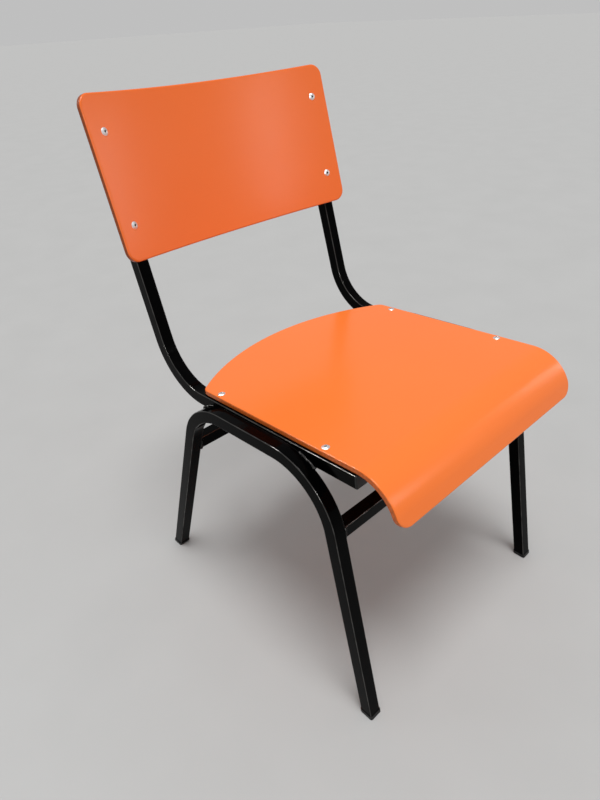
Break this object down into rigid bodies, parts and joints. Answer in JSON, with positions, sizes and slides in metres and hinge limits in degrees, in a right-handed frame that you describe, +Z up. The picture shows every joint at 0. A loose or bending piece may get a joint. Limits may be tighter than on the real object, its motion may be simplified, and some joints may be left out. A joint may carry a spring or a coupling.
{
  "type": "stacking chair",
  "caption": "Stacking chair with a bent square-tube frame, a flat plywood seat with a rolled front edge and a curved plywood backrest, both riveted on.",
  "frame": {"origin": "on the floor, under the middle of the chair's overall box", "axes": "+Z up, the chair's front faces -Y, +X runs across the chair; left is -X"},
  "size_m": [0.458, 0.5809, 0.8073],
  "materials": {
    "frame_black": "gloss powder coat",
    "seat_lacquer": "satin orange lacquer on plywood",
    "back_lacquer": "satin orange lacquer on plywood",
    "black_plastic": "satin",
    "rivet_aluminium": "satin",
    "pin_steel": "dark"
  },
  "bodies": {
    "root": {"left_leg_frame": "frame_black", "right_leg_frame": "frame_black", "left_back_rail": "frame_black", "right_back_rail": "frame_black", "front_crossbar": "frame_black", "rear_crossbar": "frame_black", "left_rail_welds": "frame_black", "right_rail_welds": "frame_black", "front_crossbar_welds": "frame_black", "rear_crossbar_welds": "frame_black", "seat_panel": "seat_lacquer", "backrest_panel": "back_lacquer", "left_front_glide": "black_plastic", "right_front_glide": "black_plastic", "left_rear_glide": "black_plastic", "right_rear_glide": "black_plastic", "left_upright_cap": "black_plastic", "right_upright_cap": "black_plastic", "left_rail_plug": "black_plastic", "right_rail_plug": "black_plastic", "seat_rivets": "rivet_aluminium", "backrest_rivets": "rivet_aluminium", "seat_rivet_pins": "pin_steel", "backrest_rivet_pins": "pin_steel"}
  },
  "joints": []
}
